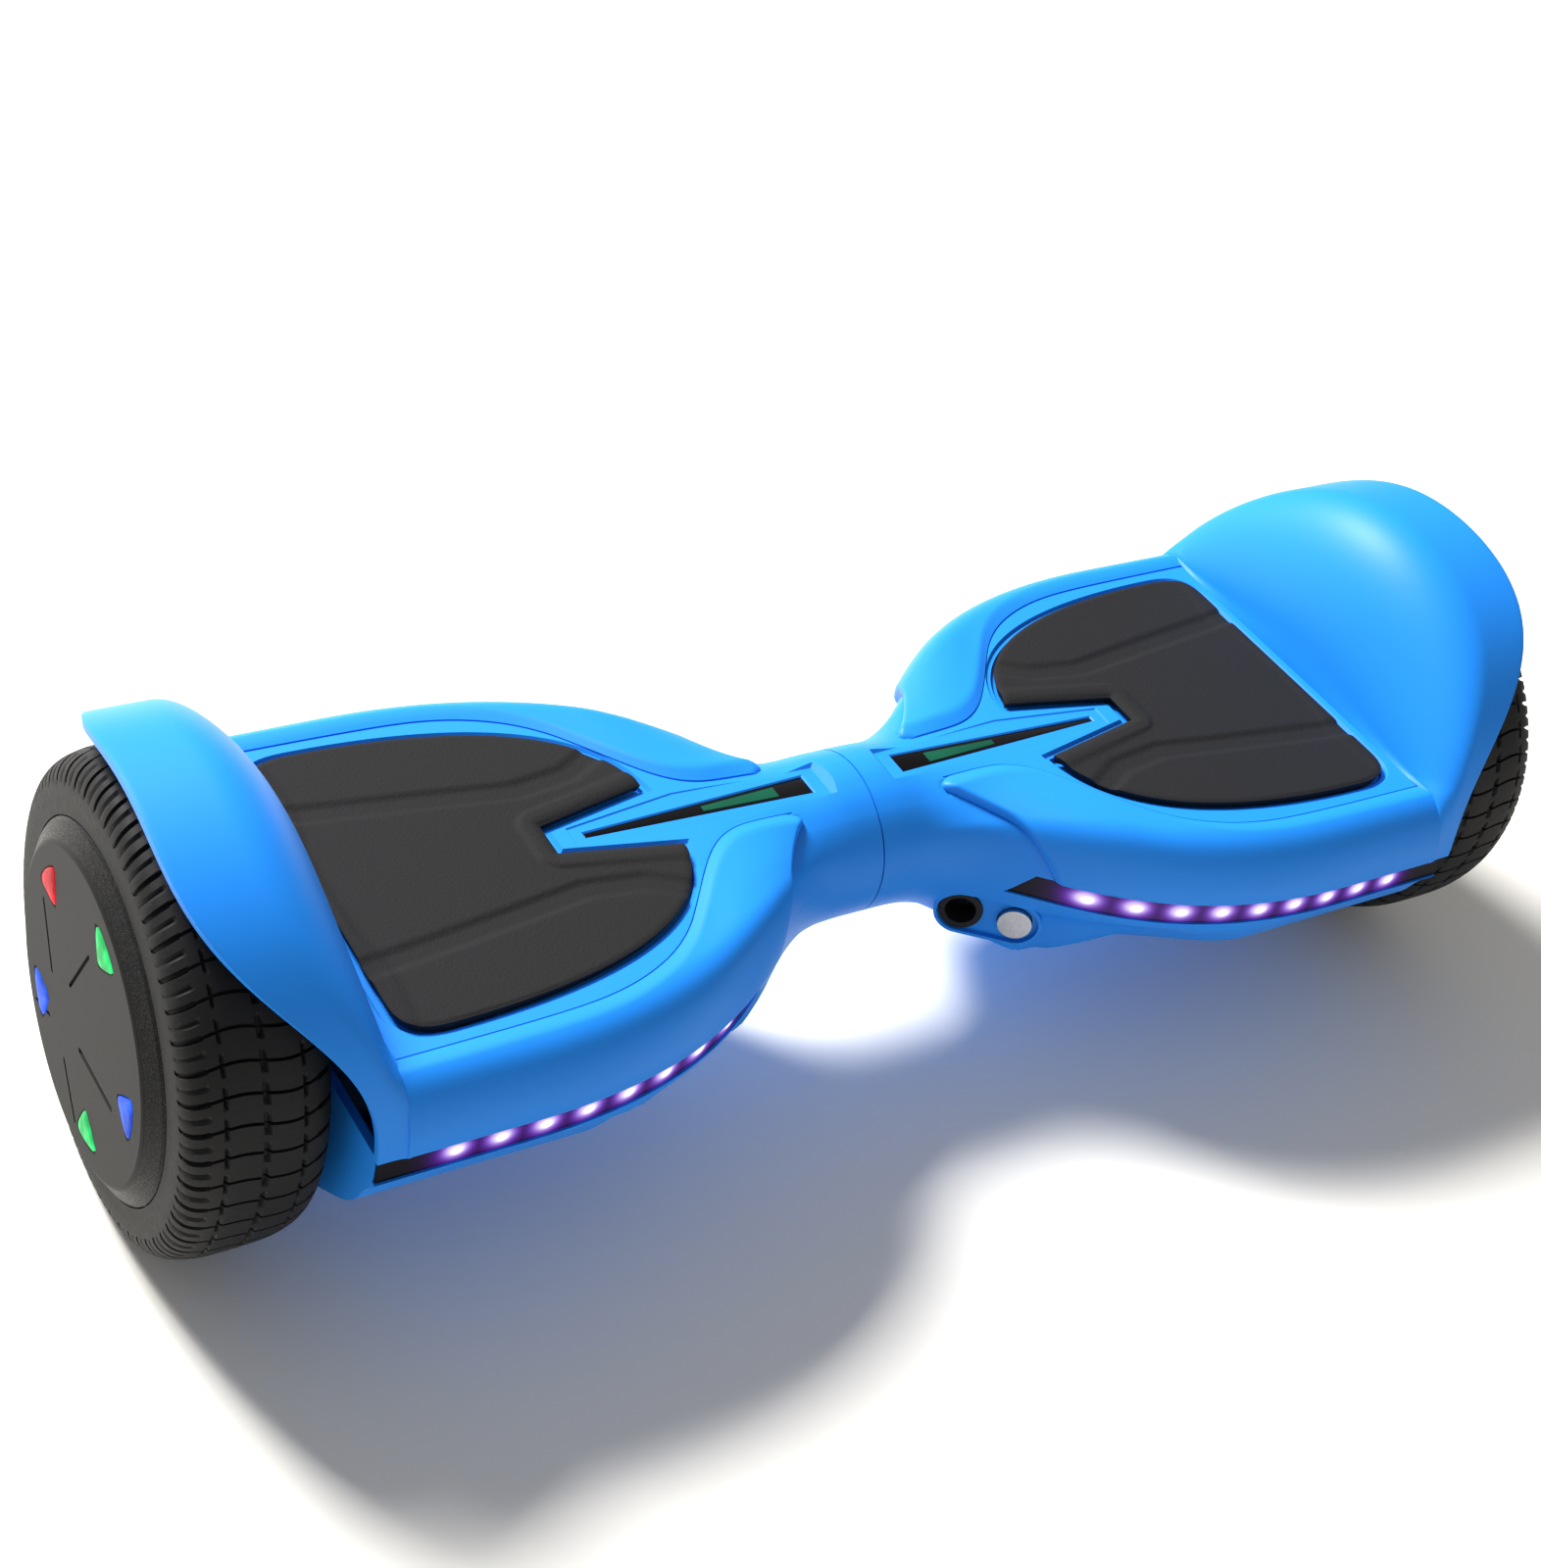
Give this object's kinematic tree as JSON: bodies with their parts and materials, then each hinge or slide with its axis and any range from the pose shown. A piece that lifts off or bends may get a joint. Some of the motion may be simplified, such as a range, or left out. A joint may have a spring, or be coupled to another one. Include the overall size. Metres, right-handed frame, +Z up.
{
  "type": "self balancing hoverboard",
  "caption": "Two-wheeled self balancing board: blue platforms that twist about a round neck, rubber foot mats, domed fenders, hub-motor wheels and lit strips.",
  "frame": {"origin": "on the floor, midway between the wheels and midway front to back", "axes": "+X along the board to its right end (the half with the power button), +Y to the back, +Z up; the lit strips face -Y"},
  "size_m": [0.5812, 0.1898, 0.179],
  "materials": {
    "body_blue": "matte",
    "mat_rubber": "matte, fine grain",
    "window_black": "gloss",
    "status_green": "translucent, lit",
    "strip_violet": "smoked, gloss",
    "led_white": "lit",
    "cast_alloy": "as cast",
    "screw_steel": "zinc plated",
    "board_green": "satin",
    "shaft_steel": "ground",
    "winding_copper": "enamelled",
    "tyre_rubber": "matte",
    "rim_dark": "satin",
    "magnet_nickel": "plated",
    "hub_dark": "satin with a fine sparkle",
    "gem_red": "gloss, lit",
    "gem_green": "gloss, lit",
    "gem_blue": "gloss, lit",
    "bush_bronze": "sintered",
    "battery_wrap": "shrink wrap",
    "button_silver": "satin",
    "socket_black": "matte",
    "cable_black": "matte"
  },
  "bodies": {
    "right_half": {"right_upper_cover": "body_blue", "right_lower_cover": "body_blue", "right_fender": "body_blue", "right_front_panel": "body_blue", "right_back_panel": "body_blue", "right_status_window": "window_black", "right_status_light": "status_green", "right_light_strip": "strip_violet", "right_leds": "led_white", "right_frame": "cast_alloy", "right_axle_clamp": "cast_alloy", "right_screws": "screw_steel", "right_sensor_board": "board_green", "right_axle": "shaft_steel", "right_stator": "winding_copper", "pivot_tube": "shaft_steel", "retaining_ring": "shaft_steel", "battery_pack": "battery_wrap", "charge_port": "socket_black", "harness": "cable_black"},
    "left_half": {"left_upper_cover": "body_blue", "left_lower_cover": "body_blue", "left_fender": "body_blue", "left_front_panel": "body_blue", "left_back_panel": "body_blue", "left_status_window": "window_black", "left_status_light": "status_green", "left_light_strip": "strip_violet", "left_leds": "led_white", "left_frame": "cast_alloy", "left_axle_clamp": "cast_alloy", "left_screws": "screw_steel", "left_sensor_board": "board_green", "left_axle": "shaft_steel", "left_stator": "winding_copper", "pivot_bushes": "bush_bronze", "main_board": "board_green"},
    "right_wheel": {"right_tyre": "tyre_rubber", "right_rim": "rim_dark", "right_motor_cover": "rim_dark", "right_magnets": "magnet_nickel", "right_hub_cover": "hub_dark", "right_red_lens": "gem_red", "right_green_lenses": "gem_green", "right_blue_lenses": "gem_blue", "right_wheel_bearings": "shaft_steel", "right_motor_screws": "screw_steel"},
    "left_wheel": {"left_tyre": "tyre_rubber", "left_rim": "rim_dark", "left_motor_cover": "rim_dark", "left_magnets": "magnet_nickel", "left_hub_cover": "hub_dark", "left_red_lens": "gem_red", "left_green_lenses": "gem_green", "left_blue_lenses": "gem_blue", "left_wheel_bearings": "shaft_steel", "left_motor_screws": "screw_steel"},
    "right_mat": {"right_foot_mat": "mat_rubber"},
    "left_mat": {"left_foot_mat": "mat_rubber"},
    "button": {"power_button": "button_silver"}
  },
  "joints": [
    {"name": "twist", "type": "hinge", "parent": "right_half", "child": "left_half", "pos_m": [0, 0, 0.084], "axis": [1, 0, 0], "range_deg": [-12, 12]},
    {"name": "right_wheel_spin", "type": "hinge", "parent": "right_half", "child": "right_wheel", "pos_m": [0.26, 0, 0.084], "axis": [1, 0, 0], "continuous": true},
    {"name": "left_wheel_spin", "type": "hinge", "parent": "left_half", "child": "left_wheel", "pos_m": [-0.26, 0, 0.084], "axis": [1, 0, 0], "continuous": true},
    {"name": "right_mat_press", "type": "slide", "parent": "right_half", "child": "right_mat", "axis": [0, 0, -1], "range_m": [0, 0.0015], "stiffness_N_per_m": 20000},
    {"name": "left_mat_press", "type": "slide", "parent": "left_half", "child": "left_mat", "axis": [0, 0, -1], "range_m": [0, 0.0015], "stiffness_N_per_m": 20000},
    {"name": "power_button_press", "type": "slide", "parent": "right_half", "child": "button", "axis": [0.6157, 0.788, 0], "range_m": [0, 0.0012], "stiffness_N_per_m": 800}
  ]
}
